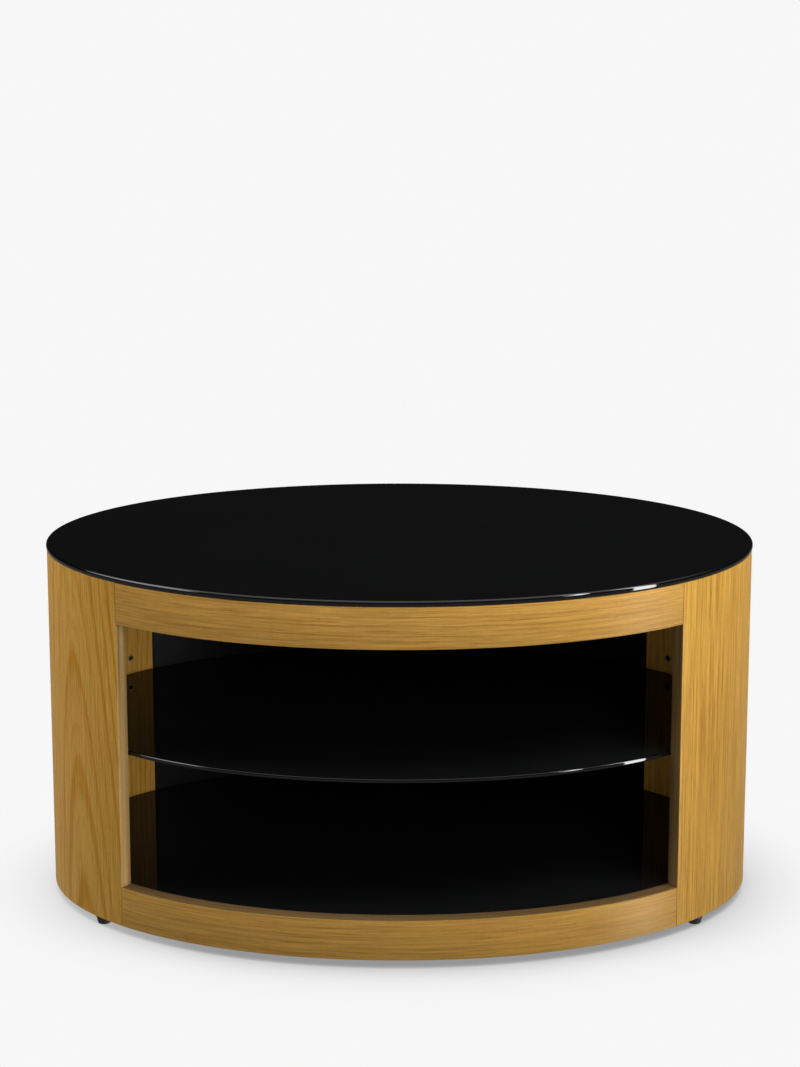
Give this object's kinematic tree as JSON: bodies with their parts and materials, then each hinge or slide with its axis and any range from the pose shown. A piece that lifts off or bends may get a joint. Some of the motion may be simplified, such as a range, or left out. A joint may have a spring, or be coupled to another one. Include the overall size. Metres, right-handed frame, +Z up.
{
  "type": "oval television cabinet",
  "caption": "Low oval open television cabinet with bent veneered ends and rails, black glass top, loose glass shelf, glass base, and a curved back with cable holes and a removable duct cover.",
  "frame": {"origin": "on the floor under the middle of the oval", "axes": "+Z up, open front faces -Y, +X to the right seen from the front, along the long axis of the oval"},
  "size_m": [0.999, 0.6014, 0.5133],
  "materials": {
    "oak_veneer": "satin lacquered honey oak veneer",
    "black_glass": "opaque polished black",
    "black_board": "black painted fibreboard",
    "black_plastic": "moulded",
    "zinc_steel": "zinc plated",
    "clear_pad": "translucent soft pad",
    "beech": "raw"
  },
  "bodies": {
    "root": {"end_panel_left": "oak_veneer", "end_panel_right": "oak_veneer", "front_top_rail": "oak_veneer", "front_bottom_rail": "oak_veneer", "top_board": "black_board", "base_board": "black_board", "base_glass": "black_glass", "base_batten_left": "beech", "base_batten_right": "beech", "back_panel_left": "black_board", "back_panel_right": "black_board", "back_cleat_left": "black_board", "back_cleat_right": "black_board", "duct_panel": "black_board", "duct_cleat_left": "black_board", "duct_cleat_right": "black_board", "dowel_top_rail_left_1": "beech", "dowel_top_rail_left_2": "beech", "dowel_top_rail_right_1": "beech", "dowel_top_rail_right_2": "beech", "dowel_bottom_rail_left_1": "beech", "dowel_bottom_rail_left_2": "beech", "dowel_bottom_rail_right_1": "beech", "dowel_bottom_rail_right_2": "beech", "shelf_sleeve_front_left_lower": "zinc_steel", "shelf_sleeve_front_left_upper": "zinc_steel", "cam_bolt_front_left": "zinc_steel", "cam_lock_front_left": "zinc_steel", "foot_front_left": "black_plastic", "foot_screw_front_left": "zinc_steel", "glass_pad_front_left": "clear_pad", "shelf_sleeve_rear_left_lower": "zinc_steel", "shelf_sleeve_rear_left_upper": "zinc_steel", "cam_bolt_rear_left": "zinc_steel", "cam_lock_rear_left": "zinc_steel", "foot_rear_left": "black_plastic", "foot_screw_rear_left": "zinc_steel", "glass_pad_rear_left": "clear_pad", "shelf_sleeve_front_right_lower": "zinc_steel", "shelf_sleeve_front_right_upper": "zinc_steel", "cam_bolt_front_right": "zinc_steel", "cam_lock_front_right": "zinc_steel", "foot_front_right": "black_plastic", "foot_screw_front_right": "zinc_steel", "glass_pad_front_right": "clear_pad", "shelf_sleeve_rear_right_lower": "zinc_steel", "shelf_sleeve_rear_right_upper": "zinc_steel", "cam_bolt_rear_right": "zinc_steel", "cam_lock_rear_right": "zinc_steel", "foot_rear_right": "black_plastic", "foot_screw_rear_right": "zinc_steel", "glass_pad_rear_right": "clear_pad"},
    "top_glass": {"top_glass": "black_glass"},
    "shelf": {"shelf_glass": "black_glass"},
    "duct_cover": {"duct_cover": "black_plastic"},
    "shelf_pin_front_left": {"shelf_pin_front_left": "zinc_steel"},
    "shelf_pin_rear_left": {"shelf_pin_rear_left": "zinc_steel"},
    "shelf_pin_front_right": {"shelf_pin_front_right": "zinc_steel"},
    "shelf_pin_rear_right": {"shelf_pin_rear_right": "zinc_steel"}
  },
  "joints": [
    {"name": "top_glass_lift", "type": "slide", "parent": "root", "child": "top_glass", "axis": [0, 0, 1], "range_m": [0, 0.06]},
    {"name": "shelf_lift", "type": "slide", "parent": "root", "child": "shelf", "axis": [0, 0, 1], "range_m": [0, 0.032]},
    {"name": "duct_cover_pull", "type": "slide", "parent": "root", "child": "duct_cover", "axis": [0, 1, 0], "range_m": [0, 0.1]},
    {"name": "shelf_pin_front_left_pull", "type": "slide", "parent": "root", "child": "shelf_pin_front_left", "axis": [0.6696, 0.7428, 0], "range_m": [0, 0.012]},
    {"name": "shelf_pin_rear_left_pull", "type": "slide", "parent": "root", "child": "shelf_pin_rear_left", "axis": [0.6696, -0.7428, 0], "range_m": [0, 0.012]},
    {"name": "shelf_pin_front_right_pull", "type": "slide", "parent": "root", "child": "shelf_pin_front_right", "axis": [-0.6696, 0.7428, 0], "range_m": [0, 0.012]},
    {"name": "shelf_pin_rear_right_pull", "type": "slide", "parent": "root", "child": "shelf_pin_rear_right", "axis": [-0.6696, -0.7428, 0], "range_m": [0, 0.012]}
  ]
}
